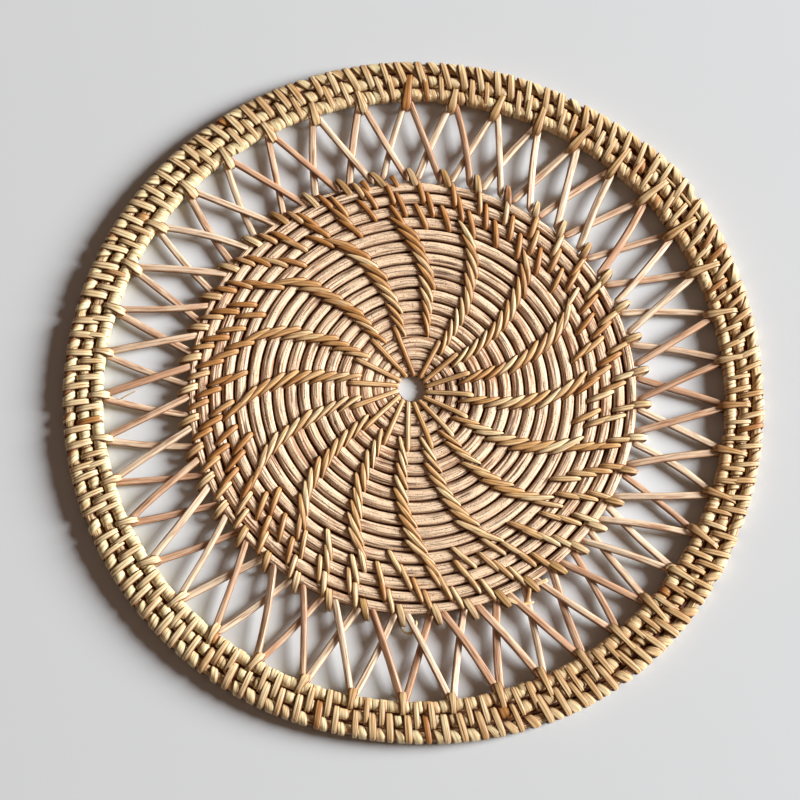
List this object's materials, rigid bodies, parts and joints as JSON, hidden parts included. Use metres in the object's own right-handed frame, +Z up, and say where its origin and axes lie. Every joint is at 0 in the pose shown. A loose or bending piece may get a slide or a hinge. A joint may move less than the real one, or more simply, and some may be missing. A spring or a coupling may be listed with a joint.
{
  "type": "round openwork cane placemat",
  "caption": "Flat round placemat of coiled reed: a ribbed disc bound in swirling arms of stitches, an open ring of crossing cane strands, and a thicker bound rim.",
  "frame": {"origin": "middle of the mat's outline on the surface that the mat lies on", "axes": "+Z up out of the mat's upper face; +X and +Y in the mat's plane, +X to the picture's right and +Y to its top"},
  "size_m": [0.2988, 0.2994, 0.0065],
  "materials": {
    "reed_core": "natural dry reed, fine lengthwise grooves",
    "lattice_cane": "natural split cane, matt",
    "binding_cane": "natural split cane, slight sheen"
  },
  "bodies": {
    "root": {"disc_coil": "reed_core", "lattice_strands": "lattice_cane", "rim_coil": "binding_cane"}
  },
  "joints": []
}
